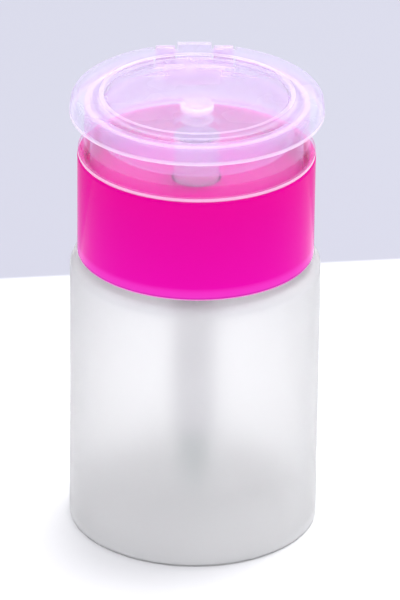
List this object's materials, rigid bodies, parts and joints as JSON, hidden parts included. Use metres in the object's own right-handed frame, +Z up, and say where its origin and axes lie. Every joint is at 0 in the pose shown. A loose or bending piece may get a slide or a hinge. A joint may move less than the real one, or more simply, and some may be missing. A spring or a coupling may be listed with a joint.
{
  "type": "nail polish remover bottle",
  "caption": "Round frosted bottle with a screw collar, a flip lid on a guard ring and a dish that is pressed down to pump liquid onto a cotton pad.",
  "frame": {"origin": "centre of the foot, on the surface that the bottle stands on", "axes": "+Z up along the bottle's axis, +Y towards the lid's hinge, front at -Y"},
  "size_m": [0.0454, 0.0454, 0.0834],
  "materials": {
    "frosted": "frosted, see-through",
    "magenta": "polished",
    "natural": "milky, see-through, smooth",
    "pump": "moulded, smooth",
    "seal": "soft, matt",
    "steel": "bright"
  },
  "bodies": {
    "bottle": {"bottle": "frosted"},
    "pump_head": {"pump_housing": "pump", "neck_gasket": "seal", "dip_tube": "pump", "stem_guide": "pump", "return_spring": "steel"},
    "collar": {"collar": "magenta", "guard_ring": "natural"},
    "lid": {"lid": "natural"},
    "plunger": {"press_dish": "natural", "nozzle_cap": "natural", "piston_stem": "pump", "piston": "seal"},
    "inlet_ball": {"inlet_ball": "steel"},
    "outlet_ball": {"outlet_ball": "steel"}
  },
  "joints": [
    {"name": "head_rise", "type": "slide", "parent": "bottle", "child": "pump_head", "axis": [0, 0, 1], "range_m": [0, 0.0038]},
    {"name": "collar_unscrew", "type": "hinge", "parent": "pump_head", "child": "collar", "pos_m": [0, 0, 0.0528], "axis": [0, 0, 1], "range_deg": [0, 450]},
    {"name": "lid_flip", "type": "hinge", "parent": "collar", "child": "lid", "pos_m": [0, 0.02117, 0.08192], "axis": [-1, 0, 0], "range_deg": [0, 125]},
    {"name": "dish_press", "type": "slide", "parent": "pump_head", "child": "plunger", "axis": [0, 0, -1], "range_m": [0, 0.005], "stiffness_N_per_m": 400, "springref_m": -0.006, "deforming": ["return_spring"]},
    {"name": "inlet_ball_lift", "type": "slide", "parent": "pump_head", "child": "inlet_ball", "axis": [0, 0, 1], "range_m": [0, 0.001]},
    {"name": "outlet_ball_lift", "type": "slide", "parent": "plunger", "child": "outlet_ball", "axis": [0, 0, 1], "range_m": [0, 0.0007]}
  ],
  "couplings": [
    {"joint": "head_rise", "follows": "collar_unscrew", "m_per_rad": 0.00047746}
  ]
}
